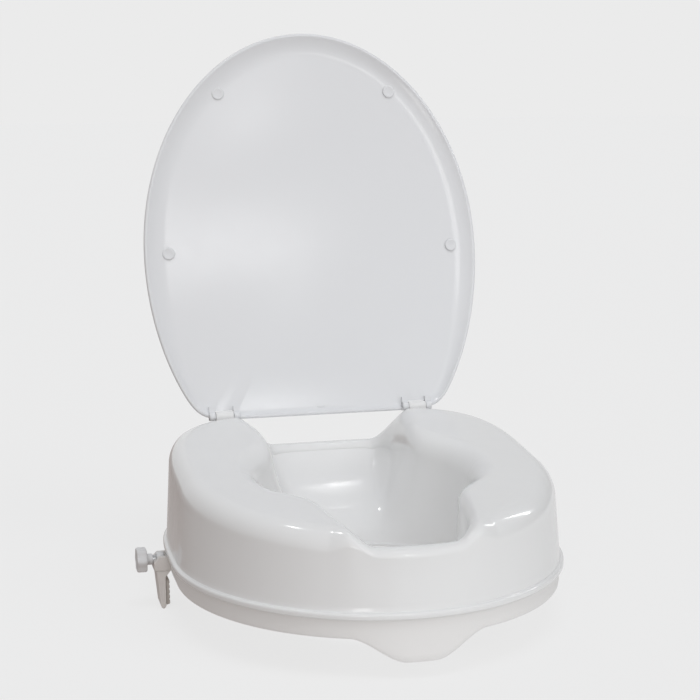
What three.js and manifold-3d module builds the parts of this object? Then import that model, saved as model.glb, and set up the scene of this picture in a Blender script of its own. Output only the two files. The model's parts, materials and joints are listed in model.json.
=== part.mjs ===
// Raised toilet seat with a hinged lid and two side clamps.
// Millimetres, +Z up, +X to the sitter's left, -Y towards the front of the toilet.
// The origin is the centre of the plane on which the seat rests on the toilet pan's rim.
import * as THREE from 'three';
import { ParametricGeometry } from 'three/addons/geometries/ParametricGeometry.js';
import { mergeVertices } from 'three/addons/utils/BufferGeometryUtils.js';
import Module from 'manifold-3d';

const wasm = await Module();
wasm.setup();

// ---- driving dimensions ------------------------------------------------------------
const GAP = 0.3;                      // clearance between pieces that touch
const HALF_WIDTH = 188;               // outline at the bead, to each side
const FRONT_LENGTH = 210;             // outline from the centre to the front
const REAR_LENGTH = 212;              // outline from the centre to the back
const FRONT_POWER = 2.0;              // superellipse powers of the outline
const REAR_POWER = 3.6;
const TOP_HEIGHT = 108.5;             // crown of the ring over the pan, at the centre
const TOP_SLOPE = 0.09;               // the crown falls towards the front
const WALL = 3.5;                     // moulding thickness
const BEAD_LOW = 18;                  // underside of the bead
const BEAD_HIGH = 23.6;
const BEAD_DEPTH = 3.7;               // the wall stands this far inside the bead
const WALL_INSET = 8.5;               // the same at the top of the drafted wall
const OUTER_ROUND = 20;               // rounding of the ring's outer shoulder
const INNER_ROUND = 23;               // rounding into the bowl
const FRONT_INNER_ROUND = 14;         // the same between the front horns

const BOWL_HALF_WIDTH = 103;          // opening below the inner rounding
const BOWL_FRONT = 98;
const BOWL_REAR = 104;
// flat and fade are measured at y = middle, and open out by spread for each millimetre beyond it
const FRONT_CHANNEL = {
  halfWidth: 64, reach: 183, power: 4.5, depth: 13.5, flat: 36, fade: 62, from: 90, to: 150,
  middle: 165, spread: 0,
};
const REAR_CHANNEL = {
  halfWidth: 70, reach: 189, power: 8, depth: 36, flat: 46, fade: 93, from: 85, to: 135,
  middle: 165, spread: 0.2,
};
const MOUTH = { halfWidth: 96, front: 120, rear: 92 };   // opening at the bottom of the bowl
const LIP = { reach: 3, low: 1.2, high: 4.2 };           // inward lip round that opening
const DROP_LOW = 30;                  // the cut-outs lower the wall above this height

const PLATE_LOW = 2.3;                // base plate
const PLATE_HIGH = 5.3;
const SKIRT_INSET = 4.2;
const TONGUE = { depth: 22, flat: 12, fade: 62 };
const PAD_THICK = 2.0;                // anti-slip pads, standing on the pan's rim at z = 0
const PAD_HALF_BAND = 9;
const PAD_ELLIPSE = { x: 140, y: 160 };

const HINGE = {
  y: 193.5, z: 124.5, radius: 5, pin: 2.0, inner: 95.5, outer: 114.5, cheek: 6.5, root: 13, neck: 10,
};
const OPEN_ANGLE = THREE.MathUtils.degToRad(100.7);      // lid over the horizontal at rest
const LID = {
  halfWidth: 180, centre: 170, front: 232, rear: 250, overhang: 4, cornerPower: 26,
  thick: 3.0, under: 4.2, dome: 2.5, rimDepth: 5, rimWidth: 12,
};
const BUMPERS = [{ x: 154, v: 173 }, { x: 93, v: 340 }];
const BUMPER = { radius: 6.5, foot: 3.3 };          // foot: height of its sole over the hinge axis

const CLAMP = { y: 66, z: 10.5, halfWidth: 13, screw: 4.0, travelWindow: 157 };
const HEAD = { inner: 172, outer: 199.3, top: 15, bottom: 1.2, chamfer: 5.5 };
const LEG = { topOuter: 197.4, lowOuter: 194.2, inner: 188.6, low: -37.5, gusset: 183 };
const COLLAR = { inner: 188.2, outer: 196.0, radius: 6.9 };
const KNOB = { inner: 205.3, outer: 215.4, radius: 12.6, lobes: 6, lobeDepth: 1.5, neck: 5.5 };
const SCREW_END = 136;
const NUT = { inner: 146, outer: 152.5, radius: 7.5 };
const HOUSING = { inner: 143, outer: 156.5, halfWidth: 11, top: 21 };
const SCREW_ANGLES = [28, 62, 138, -28, -62, -138];      // base screws, degrees from the front
const SCREW_ELLIPSE = { x: 160, y: 178 };
const SCREW = { head: 3.8, headThick: 1.7, shank: 1.8, length: 17, boss: 5 };

// ---- outlines and heights ------------------------------------------------------------
const clamp01 = (t) => Math.min(1, Math.max(0, t));
const mix = (a, b, t) => a + (b - a) * t;
function smooth(value, low, high) {
  const t = clamp01((value - low) / (high - low));
  return t * t * (3 - 2 * t);
}
// radius of a superellipse along a direction; s and c are the direction's two parts
function superRadius(s, c, halfWidth, length, power) {
  return (Math.abs(s / halfWidth) ** power + Math.abs(c / length) ** power) ** (-1 / power);
}
// phi is measured from the front, so a point is (r sin phi, -r cos phi)
function outlineRadius(phi) {
  const s = Math.sin(phi);
  const c = Math.cos(phi);
  return c > 0
    ? superRadius(s, c, HALF_WIDTH, FRONT_LENGTH, FRONT_POWER)
    : superRadius(s, c, HALF_WIDTH, REAR_LENGTH, REAR_POWER);
}
function bowlRadius(phi) {
  const s = Math.sin(phi);
  const c = Math.cos(phi);
  const channel = c > 0 ? FRONT_CHANNEL : REAR_CHANNEL;
  const oval = superRadius(s, c, BOWL_HALF_WIDTH, c > 0 ? BOWL_FRONT : BOWL_REAR, 2);
  const slot = superRadius(s, c, channel.halfWidth, channel.reach, channel.power);
  return (oval ** 10 + slot ** 10) ** 0.1;
}
function mouthRadius(phi) {
  const c = Math.cos(phi);
  return superRadius(Math.sin(phi), c, MOUTH.halfWidth, c > 0 ? MOUTH.front : MOUTH.rear, 2);
}
// how far the cut-outs lower the top at a point
function topDrop(x, y) {
  const channel = y < 0 ? FRONT_CHANNEL : REAR_CHANNEL;
  const shifted = Math.abs(x) - channel.spread * (Math.abs(y) - channel.middle);
  const across = 1 - smooth(shifted, channel.flat, channel.fade);
  return channel.depth * across * smooth(Math.abs(y), channel.from, channel.to);
}

// ---- mesh helpers ------------------------------------------------------------
function toSolid(geometry) {
  const bare = geometry.clone();
  bare.deleteAttribute('normal');
  bare.deleteAttribute('uv');
  const merged = mergeVertices(bare, 1e-4);
  const corners = merged.index.array;
  const triangles = [];
  for (let i = 0; i < corners.length; i += 3) {
    const [a, b, c] = [corners[i], corners[i + 1], corners[i + 2]];
    if (a !== b && b !== c && c !== a) triangles.push(a, b, c);
  }
  const mesh = new wasm.Mesh({
    numProp: 3,
    vertProperties: new Float32Array(merged.attributes.position.array),
    triVerts: new Uint32Array(triangles),
  });
  return new wasm.Manifold(mesh);
}
function toGeometry(solid) {
  const mesh = solid.getMesh();
  const geometry = new THREE.BufferGeometry();
  geometry.setAttribute('position', new THREE.BufferAttribute(new Float32Array(mesh.vertProperties), 3));
  geometry.setIndex(new THREE.BufferAttribute(new Uint32Array(mesh.triVerts), 1));
  geometry.computeVertexNormals();
  return geometry;
}
// A ring of closed sections. section(phi) gives its corners as [radius, height].
function ringGeometry(angles, section, place) {
  const rows = angles.map((phi) => section(phi).map(([r, z]) => place(r, z, phi)));
  const around = rows.length;
  const along = rows[0].length;
  const point = (u, v, target) => {
    const i = Math.round(u * around) % around;
    const j = Math.round(v * along) % along;
    target.copy(rows[i][j]);
  };
  return new ParametricGeometry(point, around, along);
}
function polar(r, z, phi) {
  return new THREE.Vector3(r * Math.sin(phi), -r * Math.cos(phi), z);
}
function box(x0, x1, y0, y1, z0, z1) {
  const geometry = new THREE.BoxGeometry(x1 - x0, y1 - y0, z1 - z0);
  geometry.translate((x0 + x1) / 2, (y0 + y1) / 2, (z0 + z1) / 2);
  return geometry;
}
// a round bar along X, between two x
function barX(radius, x0, x1, y, z, sides = 24) {
  const geometry = new THREE.CylinderGeometry(radius, radius, x1 - x0, sides);
  geometry.rotateZ(Math.PI / 2);
  geometry.translate((x0 + x1) / 2, y, z);
  return geometry;
}
// a round bar along Z
function barZ(radius, x, y, z0, z1, sides = 16) {
  const geometry = new THREE.CylinderGeometry(radius, radius, z1 - z0, sides);
  geometry.rotateX(Math.PI / 2);
  geometry.translate(x, y, (z0 + z1) / 2);
  return geometry;
}
function finish(colour, roughness, metalness = 0) {
  return new THREE.MeshStandardMaterial({ color: colour, roughness, metalness });
}

// Angles of the sections, closer together where the cut-outs have their flanks.
function sectionAngles() {
  const angles = [];
  let degrees = 0;
  while (degrees < 360) {
    angles.push(THREE.MathUtils.degToRad(degrees));
    const fromFront = Math.min(degrees, 360 - degrees);
    const nearFlank = fromFront < 33 || fromFront >= 138;
    degrees += nearFlank ? 3 : 6;
  }
  return angles;
}
const ANGLES = sectionAngles();

// ---- seat shell ------------------------------------------------------------
// Corners of the upper moulding's section, from the bead over the ring and down into the
// bowl, then back along the inside. Heights are over the pan, before the cut-outs.
function shellSection(phi) {
  const out = outlineRadius(phi);
  const wall = out - WALL_INSET;
  const bowl = bowlRadius(phi);
  const mouth = mouthRadius(phi);
  const width = wall - bowl;
  const outer = Math.min(OUTER_ROUND, 0.45 * width);
  const inner = Math.min(mix(INNER_ROUND, FRONT_INNER_ROUND, smooth(Math.cos(phi), 0.4, 0.9)), 0.5 * width);
  const topAt = (r) => TOP_HEIGHT - TOP_SLOPE * r * Math.cos(phi);
  const corners = [
    [out - BEAD_DEPTH - WALL, BEAD_LOW],
    [out - 0.9, BEAD_LOW],
    [out, BEAD_LOW + 1.2],
    [out, BEAD_HIGH - 1.8],
    [out - 1.0, BEAD_HIGH - 0.4],
    [out - BEAD_DEPTH, BEAD_HIGH + 0.8],
  ];
  const shoulder = topAt(wall) - outer;
  for (const t of [0.35, 0.7]) {
    corners.push([mix(out - BEAD_DEPTH, wall, t), mix(BEAD_HIGH + 0.8, shoulder, t)]);
  }
  const outerSteps = 4;
  for (let k = 0; k <= outerSteps; k++) {
    const a = (k / outerSteps) * Math.PI / 2;
    const r = wall - outer + outer * Math.cos(a);
    corners.push([r, topAt(r) - outer + outer * Math.sin(a)]);
  }
  const innerSteps = 4;
  for (let k = 0; k <= innerSteps; k++) {
    const a = (k / innerSteps) * Math.PI / 2;
    const r = bowl + inner - inner * Math.sin(a);
    corners.push([r, topAt(r) - inner + inner * Math.cos(a)]);
  }
  const rim = topAt(bowl) - inner;
  for (const t of [0.33, 0.66]) {
    corners.push([mix(bowl, mouth, t), mix(rim, LIP.high + 4, t)]);
  }
  corners.push(
    [mouth, LIP.high + 4],
    [mouth - LIP.reach, LIP.high],
    [mouth - LIP.reach, LIP.low],
    [mouth + WALL, LIP.low],
    [mouth + WALL, LIP.high + 5],
  );
  for (const t of [0.6, 0.0]) {
    corners.push([mix(bowl, mouth, t) + WALL, mix(rim, LIP.high + 4, t)]);
  }
  for (const a of [Math.PI / 4, 0]) {
    const r = bowl + inner - (inner - WALL) * Math.sin(a);
    corners.push([r, topAt(r) - inner + (inner - WALL) * Math.cos(a)]);
  }
  for (const a of [Math.PI / 2, Math.PI / 4, 0]) {
    const r = wall - outer + (outer - WALL) * Math.cos(a);
    corners.push([r, topAt(r) - outer + (outer - WALL) * Math.sin(a)]);
  }
  return corners;
}
function placeShell(r, z, phi) {
  const point = polar(r, z, phi);
  const top = TOP_HEIGHT + TOP_SLOPE * point.y;
  const share = clamp01((z - DROP_LOW) / (top - OUTER_ROUND - DROP_LOW));
  point.z -= topDrop(point.x, point.y) * share;
  return point;
}
function screwPlace(degrees) {
  const phi = THREE.MathUtils.degToRad(degrees);
  return [SCREW_ELLIPSE.x * Math.sin(phi), -SCREW_ELLIPSE.y * Math.cos(phi)];
}
function seatShell() {
  let shell = toSolid(ringGeometry(ANGLES, shellSection, placeShell));
  for (const side of [-1, 1]) {
    const [x0, x1] = side > 0 ? [HINGE.inner, HINGE.outer] : [-HINGE.outer, -HINGE.inner];
    const root = box(x0, x1, HINGE.y - HINGE.radius, HINGE.y + HINGE.radius, HINGE.z - HINGE.root, HINGE.z);
    const round = barX(HINGE.radius, x0, x1, HINGE.y, HINGE.z, 28);
    const bore = barX(HINGE.pin + 0.15, x0 - 1, x1 + 1, HINGE.y, HINGE.z, 20);
    shell = shell.add(toSolid(root)).add(toSolid(round)).subtract(toSolid(bore));
  }
  for (const degrees of SCREW_ANGLES) {
    const [x, y] = screwPlace(degrees);
    const ceiling = TOP_HEIGHT + TOP_SLOPE * y - topDrop(x, y) - WALL + 0.6;
    shell = shell.add(toSolid(barZ(SCREW.boss, x, y, PLATE_HIGH + GAP, ceiling)));
    shell = shell.subtract(toSolid(barZ(SCREW.shank + 0.2, x, y, 0, 26, 12)));
  }
  return toGeometry(shell);
}

// ---- base ring ------------------------------------------------------------
// the tongue carries the skirt down at the front
function skirtLow(x, y) {
  return y < 0 ? -TONGUE.depth * (1 - smooth(Math.abs(x), TONGUE.flat, TONGUE.fade)) : 0;
}
function baseSection(phi) {
  const out = outlineRadius(phi) - SKIRT_INSET;
  const inner = mouthRadius(phi) + WALL + GAP + 0.2;
  const spigot = outlineRadius(phi) - BEAD_DEPTH - WALL - 3 * GAP;
  return [
    [out - WALL, PLATE_LOW],
    [out - WALL, 0],
    [out - 1.4, 0],
    [out - 0.6, 0.6],
    [out, 9],
    [out, BEAD_LOW - GAP],
    [spigot, BEAD_LOW - GAP],
    [spigot, BEAD_LOW + 6],
    [spigot - 3, BEAD_LOW + 6],
    [spigot - 3, BEAD_LOW - 3],
    [out - WALL - 3, PLATE_HIGH],
    [inner, PLATE_HIGH],
    [inner, PLATE_LOW],
  ];
}
function placeBase(r, z, phi) {
  const point = polar(r, z, phi);
  const out = outlineRadius(phi) - SKIRT_INSET;
  const onSkirt = r > out - WALL - 0.1;
  if (onSkirt && z < PLATE_LOW - 0.1) point.z += skirtLow(point.x, point.y);
  return point;
}
function baseRing() {
  let ring = toSolid(ringGeometry(ANGLES, baseSection, placeBase));
  for (const side of [-1, 1]) {
    const span = (a, b) => (side > 0 ? [a, b] : [-b, -a]);
    const y0 = CLAMP.y - CLAMP.halfWidth - 1;
    const y1 = CLAMP.y + CLAMP.halfWidth + 1;
    const window = box(...span(CLAMP.travelWindow, 205), y0, y1, -5, BEAD_LOW - GAP - 0.1);
    const block = box(
      ...span(HOUSING.inner, HOUSING.outer), CLAMP.y - HOUSING.halfWidth, CLAMP.y + HOUSING.halfWidth,
      PLATE_LOW + 0.5, HOUSING.top,
    );
    const pocket = barX(NUT.radius + GAP, ...span(NUT.inner - GAP, NUT.outer + GAP), CLAMP.y, CLAMP.z, 6);
    const hole = barX(CLAMP.screw + GAP, ...span(HOUSING.inner - 5, 205), CLAMP.y, CLAMP.z, 20);
    const slot = box(
      ...span(NUT.inner - GAP, NUT.outer + GAP), CLAMP.y - NUT.radius, CLAMP.y + NUT.radius,
      CLAMP.z, HOUSING.top + 1,
    );
    ring = ring.subtract(toSolid(window)).add(toSolid(block));
    ring = ring.subtract(toSolid(pocket)).subtract(toSolid(slot)).subtract(toSolid(hole));
  }
  for (const degrees of SCREW_ANGLES) {
    const [x, y] = screwPlace(degrees);
    ring = ring.subtract(toSolid(barZ(SCREW.shank + GAP, x, y, PLATE_LOW - 1, PLATE_HIGH + 1, 12)));
  }
  return toGeometry(ring);
}
// one anti-slip pad: a curved flat strip
function restPad(middleDegrees) {
  const half = THREE.MathUtils.degToRad(17);
  const middle = THREE.MathUtils.degToRad(middleDegrees - 90);
  const shape = new THREE.Shape();
  const grow = PAD_HALF_BAND;
  shape.absellipse(0, 0, PAD_ELLIPSE.x + grow, PAD_ELLIPSE.y + grow, middle - half, middle + half, false);
  shape.absellipse(0, 0, PAD_ELLIPSE.x - grow, PAD_ELLIPSE.y - grow, middle + half, middle - half, true);
  shape.closePath();
  return new THREE.ExtrudeGeometry(shape, { depth: PAD_THICK, bevelEnabled: false, curveSegments: 12 });
}
function baseScrew() {
  const { head, headThick, shank, length } = SCREW;
  const profile = [
    [0, 0], [head - 0.8, 0], [head, 0.8], [head, headThick], [shank, headThick],
    [shank, length - 3], [0, length],
  ];
  const geometry = new THREE.LatheGeometry(profile.map(([r, z]) => new THREE.Vector2(r, z)), 20);
  geometry.rotateX(Math.PI / 2);
  return geometry;
}

// ---- lid ------------------------------------------------------------
// Modelled shut and level about the hinge axis: v runs forwards, t upwards.
function lidRadius(alpha) {
  const s = Math.sin(alpha);
  const c = Math.cos(alpha);
  const oval = superRadius(s, c, LID.halfWidth, c > 0 ? LID.front : LID.rear, 2);
  if (c >= 0) return oval;
  const edge = (LID.centre + LID.overhang) / -c;
  return (oval ** -LID.cornerPower + edge ** -LID.cornerPower) ** (-1 / LID.cornerPower);
}
// the panel's section from the middle of the underside, round the rim, to the middle of the top
function lidSection(alpha) {
  const edge = lidRadius(alpha);
  const flat = edge - LID.rimWidth;
  const domeAt = (r) => LID.dome * (1 - (r / edge) ** 2);
  const low = LID.under - LID.rimDepth;
  const underside = [0, 0.4, 0.75].map((t) => [flat * t, LID.under + domeAt(flat * t)]);
  const top = [0.8, 0.4, 0].map((t) => [flat * t, LID.under + LID.thick + domeAt(flat * t)]);
  return [
    ...underside,
    [flat, LID.under + domeAt(flat)],
    [edge - 6, LID.under - 0.2],
    [edge - 3.8, LID.under - 2],
    [edge - 3.0, low],
    [edge - 1.0, low],
    [edge, low + 1.4],
    [edge, LID.under - 0.5],
    [edge - 1.6, LID.under + 2],
    [edge - 5.5, LID.under + LID.thick],
    ...top,
  ];
}
function lidPanel() {
  const around = 72;
  const along = lidSection(0).length - 1;
  const point = (u, w, target) => {
    const alpha = (Math.round(u * around) % around) * 2 * Math.PI / around;
    const [r, t] = lidSection(alpha)[Math.round(w * along)];
    target.set(r * Math.sin(alpha), -(LID.centre + r * Math.cos(alpha)), t);
  };
  return new ParametricGeometry(point, around, along);
}
function lidGeometry() {
  let lid = toSolid(lidPanel());
  for (const side of [-1, 1]) {
    const span = (a, b) => (side > 0 ? [a, b] : [-b, -a]);
    const clear = HINGE.radius + 2 * GAP;
    const notch = box(...span(HINGE.inner - GAP, HINGE.outer + GAP), -clear, clear, -clear, 2 * clear);
    lid = lid.subtract(toSolid(notch));
    const cheeks = [
      [HINGE.inner - HINGE.cheek, HINGE.inner - GAP],
      [HINGE.outer + GAP, HINGE.outer + HINGE.cheek],
    ];
    for (const [a, b] of cheeks) {
      const ear = barX(HINGE.radius - GAP, ...span(a, b), 0, 0, 28);
      const neck = box(...span(a, b), -HINGE.neck, HINGE.radius - GAP, 0, LID.under + 2);
      lid = lid.add(toSolid(ear)).add(toSolid(neck));
    }
    const reach = 2 * HINGE.cheek;
    const bore = barX(HINGE.pin + 0.1, ...span(HINGE.inner - reach, HINGE.outer + reach), 0, 0, 20);
    lid = lid.subtract(toSolid(bore));
  }
  return toGeometry(lid);
}
function lidUnder(x, v) {
  const alpha = Math.atan2(-x, v - LID.centre);
  const edge = lidRadius(alpha);
  const r = Math.hypot(x, v - LID.centre);
  return LID.under + LID.dome * (1 - (r / edge) ** 2);
}

// ---- clamps, modelled on the +X side ------------------------------------------------------------
function extrudeAlongY(corners, y0, y1) {
  const shape = new THREE.Shape(corners.map(([x, z]) => new THREE.Vector2(x, z)));
  const geometry = new THREE.ExtrudeGeometry(shape, { depth: y1 - y0, bevelEnabled: false });
  geometry.rotateX(Math.PI / 2);
  geometry.translate(0, y1, 0);
  return geometry;
}
function clampBracket() {
  const { y, z, halfWidth, screw } = CLAMP;
  const profile = [
    [HEAD.inner, HEAD.bottom], [HEAD.inner, HEAD.top], [HEAD.outer - HEAD.chamfer, HEAD.top],
    [HEAD.outer, HEAD.top - HEAD.chamfer], [HEAD.outer, HEAD.bottom], [LEG.topOuter, HEAD.bottom],
    [LEG.lowOuter, LEG.low + 4], [LEG.lowOuter - 1.2, LEG.low + 1], [LEG.lowOuter - 3, LEG.low],
    [LEG.inner + 1.2, LEG.low + 1], [LEG.inner, LEG.low + 3], [LEG.inner, -5.5],
    [LEG.gusset, HEAD.bottom],
  ];
  let bracket = toSolid(extrudeAlongY(profile, y - halfWidth, y + halfWidth));
  const pocket = box(
    COLLAR.inner - GAP, COLLAR.outer + GAP, y - COLLAR.radius - 0.5, y + COLLAR.radius + 0.5,
    z - COLLAR.radius - 0.5, HEAD.top + 1,
  );
  const hole = barX(screw + GAP, HEAD.inner - 1, HEAD.outer + 1, y, z, 20);
  bracket = bracket.subtract(toSolid(pocket)).subtract(toSolid(hole));
  return toGeometry(bracket);
}
// ribbed rubber facing on the inside of the leg
function gripPad() {
  const ribs = 5;
  const high = -9;
  const low = LEG.low + 3;
  const back = LEG.inner - GAP;
  const pitch = (high - low) / ribs;
  const corners = [[back, low]];
  corners.push([back, high]);
  for (let k = 0; k < ribs; k++) {
    const start = high - k * pitch;
    corners.push([back - 3.7, start - 0.15 * pitch]);
    corners.push([back - 3.7, start - 0.7 * pitch]);
    corners.push([back - 2.6, start - 0.85 * pitch]);
  }
  return extrudeAlongY(corners, CLAMP.y - 10, CLAMP.y + 10);
}
function clampKnob() {
  const shape = new THREE.Shape();
  const steps = 36;
  for (let k = 0; k < steps; k++) {
    const angle = (k / steps) * 2 * Math.PI;
    const radius = KNOB.radius - KNOB.lobeDepth * (1 - Math.cos(KNOB.lobes * angle)) / 2;
    const [a, b] = [radius * Math.cos(angle), radius * Math.sin(angle)];
    if (k === 0) shape.moveTo(a, b);
    else shape.lineTo(a, b);
  }
  shape.closePath();
  const bevel = 1.0;
  const body = new THREE.ExtrudeGeometry(shape, {
    depth: KNOB.outer - KNOB.inner - 2 * bevel, bevelSize: bevel, bevelThickness: bevel,
    bevelOffset: -bevel, bevelSegments: 1,
  });
  body.rotateY(Math.PI / 2);
  body.translate(KNOB.inner + bevel, CLAMP.y, CLAMP.z);
  const neck = barX(KNOB.neck, HEAD.outer + GAP, KNOB.inner + 1, CLAMP.y, CLAMP.z, 24);
  const bore = barX(CLAMP.screw + GAP, HEAD.outer, KNOB.outer - 3, CLAMP.y, CLAMP.z, 20);
  return toGeometry(toSolid(body).add(toSolid(neck)).subtract(toSolid(bore)));
}
function retainingCollar() {
  const ring = toSolid(barX(COLLAR.radius, COLLAR.inner, COLLAR.outer, CLAMP.y, CLAMP.z, 28));
  const bore = barX(CLAMP.screw + GAP, COLLAR.inner - 1, COLLAR.outer + 1, CLAMP.y, CLAMP.z, 20);
  return toGeometry(ring.subtract(toSolid(bore)));
}
function clampScrew() {
  const tip = 1.5;
  const length = KNOB.outer - 3 - GAP - SCREW_END;
  const profile = [[0, 0], [CLAMP.screw - tip, 0], [CLAMP.screw, tip], [CLAMP.screw, length], [0, length]];
  const geometry = new THREE.LatheGeometry(profile.map(([r, x]) => new THREE.Vector2(r, x)), 20);
  geometry.rotateZ(-Math.PI / 2);
  geometry.translate(SCREW_END, CLAMP.y, CLAMP.z);
  return geometry;
}
function clampNut() {
  const nut = toSolid(barX(NUT.radius, NUT.inner, NUT.outer, CLAMP.y, CLAMP.z, 6));
  const bore = barX(CLAMP.screw + GAP, NUT.inner - 1, NUT.outer + 1, CLAMP.y, CLAMP.z, 20);
  return toGeometry(nut.subtract(toSolid(bore)));
}
// the other side's piece, with its faces turned back out
function mirrored(geometry) {
  const copy = geometry.index ? geometry.toNonIndexed() : geometry.clone();
  copy.scale(-1, 1, 1);
  const p = copy.attributes.position;
  for (let i = 0; i < p.count; i += 3) {
    const [x, y, z] = [p.getX(i), p.getY(i), p.getZ(i)];
    p.setXYZ(i, p.getX(i + 1), p.getY(i + 1), p.getZ(i + 1));
    p.setXYZ(i + 1, x, y, z);
  }
  copy.computeVertexNormals();
  return copy;
}

// ---- assembly ------------------------------------------------------------
const WHITE = finish(0xeeeeec, 0.22);
const LID_WHITE = finish(0xe6e8ec, 0.28);
const SKIRT_WHITE = finish(0xe6e3df, 0.4);
const CLAMP_WHITE = finish(0xd9d5cf, 0.45);
const KNOB_WHITE = finish(0xe2e4e6, 0.35);
const RUBBER = finish(0xb9b6b0, 0.85);
const STEEL = finish(0xb4b6b8, 0.3, 1);

const seat = new THREE.Group();
function addPiece(parent, name, geometry, material) {
  const mesh = new THREE.Mesh(geometry, material.clone());
  mesh.name = name;
  parent.add(mesh);
  return mesh;
}

addPiece(seat, 'seat_shell', seatShell(), WHITE);
addPiece(seat, 'base_ring', baseRing(), SKIRT_WHITE);
[38, 142, 218, 322].forEach((degrees, k) => {
  addPiece(seat, `rest_pad_${k + 1}`, restPad(degrees), RUBBER);
});
SCREW_ANGLES.forEach((degrees, k) => {
  const screw = addPiece(seat, `base_screw_${k + 1}`, baseScrew(), STEEL);
  const [x, y] = screwPlace(degrees);
  screw.position.set(x, y, PLATE_LOW - GAP - SCREW.headThick);
});

const lidGroup = new THREE.Group();
lidGroup.position.set(0, HINGE.y, HINGE.z);
lidGroup.rotation.x = -OPEN_ANGLE;
seat.add(lidGroup);
addPiece(lidGroup, 'lid', lidGeometry(), LID_WHITE);
BUMPERS.forEach(({ x, v }, k) => {
  for (const [side, word] of [[-1, 'left'], [1, 'right']]) {
    const top = lidUnder(x, v) - GAP - 0.1;
    const disc = barZ(BUMPER.radius, side * x, -v, BUMPER.foot, top, 24);
    addPiece(lidGroup, `lid_bumper_${k === 0 ? 'rear' : 'front'}_${word}`, disc, RUBBER);
  }
});
for (const [side, word] of [[-1, 'left'], [1, 'right']]) {
  const reach = HINGE.cheek - 0.5;
  const [x0, x1] = side > 0
    ? [HINGE.inner - reach, HINGE.outer + reach] : [-HINGE.outer - reach, -HINGE.inner + reach];
  addPiece(lidGroup, `hinge_pin_${word}`, barX(HINGE.pin - 0.05, x0, x1, 0, 0, 20), STEEL);
}

const clampPieces = [
  ['clamp_bracket', clampBracket(), CLAMP_WHITE],
  ['grip_pad', gripPad(), RUBBER],
  ['clamp_knob', clampKnob(), KNOB_WHITE],
  ['retaining_collar', retainingCollar(), KNOB_WHITE],
  ['clamp_screw', clampScrew(), STEEL],
  ['clamp_nut', clampNut(), STEEL],
];
for (const [name, geometry, material] of clampPieces) {
  addPiece(seat, `${name}_right`, geometry, material);
  addPiece(seat, `${name}_left`, mirrored(geometry), material);
}

export default seat;
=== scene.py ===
"""Looks for the raised toilet seat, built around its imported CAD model.
Everything is in the CAD model's frame: metres, +Z up, -Y towards the front of the toilet."""

import json
import math

import bmesh
import bpy
from mathutils import Matrix, Vector


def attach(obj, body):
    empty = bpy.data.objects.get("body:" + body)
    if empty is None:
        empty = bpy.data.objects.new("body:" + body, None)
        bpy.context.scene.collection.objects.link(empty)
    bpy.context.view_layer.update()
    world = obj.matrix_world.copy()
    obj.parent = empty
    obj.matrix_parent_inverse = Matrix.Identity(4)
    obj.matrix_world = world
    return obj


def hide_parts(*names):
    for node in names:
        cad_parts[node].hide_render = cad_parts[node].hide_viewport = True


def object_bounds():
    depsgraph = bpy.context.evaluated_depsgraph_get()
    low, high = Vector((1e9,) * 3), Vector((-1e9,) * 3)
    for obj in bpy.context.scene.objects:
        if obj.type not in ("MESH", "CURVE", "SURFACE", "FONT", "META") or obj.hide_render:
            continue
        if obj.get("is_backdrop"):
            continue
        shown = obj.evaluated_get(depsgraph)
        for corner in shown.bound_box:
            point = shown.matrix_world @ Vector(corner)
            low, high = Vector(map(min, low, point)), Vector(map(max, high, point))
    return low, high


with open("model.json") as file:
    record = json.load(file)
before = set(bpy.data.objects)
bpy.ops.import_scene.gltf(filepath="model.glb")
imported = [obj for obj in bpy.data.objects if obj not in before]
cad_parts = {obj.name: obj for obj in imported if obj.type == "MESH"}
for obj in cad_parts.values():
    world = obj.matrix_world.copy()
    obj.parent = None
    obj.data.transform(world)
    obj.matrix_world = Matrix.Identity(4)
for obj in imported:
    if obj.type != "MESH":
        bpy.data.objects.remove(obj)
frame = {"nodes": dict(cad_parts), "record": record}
cad_low, cad_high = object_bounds()

MM = 0.001
TURN = 2 * math.pi
GAP = 0.3  # clearance between pieces that fit together, in millimetres
SHARP = math.radians(36)  # edges that bend more than this are shaded sharp

# ---- sizes of the CAD model that the finer pieces follow, in millimetres ----
HALF_WIDTH = 188
FRONT_LENGTH = 210
REAR_LENGTH = 212
FRONT_POWER = 2.0
REAR_POWER = 3.6
TOP_HEIGHT = 108.5
TOP_SLOPE = 0.09
WALL = 3.5
BEAD_LOW = 18
BEAD_HIGH = 23.6
BEAD_DEPTH = 3.7
WALL_INSET = 8.5
OUTER_ROUND = 20
INNER_ROUND = 23
FRONT_INNER_ROUND = 14
BOWL_HALF_WIDTH = 103
BOWL_FRONT = 98
BOWL_REAR = 104
FRONT_CHANNEL = dict(
    half_width=64, reach=183, power=4.5, depth=13.5, flat=36, fade=62, start=90, end=150, spread=0,
)
REAR_CHANNEL = dict(
    half_width=70, reach=189, power=8, depth=36, flat=46, fade=93, start=85, end=135, spread=0.2,
)
CHANNEL_MIDDLE = 165
MOUTH = dict(half_width=96, front=120, rear=92)
LIP_REACH = 3
LIP_LOW = 1.2
LIP_HIGH = 4.2
DROP_LOW = 30

PLATE_LOW = 2.3
PLATE_HIGH = 5.3
SKIRT_INSET = 4.2
TONGUE = dict(depth=22, flat=12, fade=62)
PAD_ELLIPSE = (140, 160)
PAD_MIDDLES = (38, 142, 218, 322)
PAD_HALF_SPAN = 17
PAD_STEPS = 32
PAD_GROOVES = (-4.2, 0, 4.2)

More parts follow.
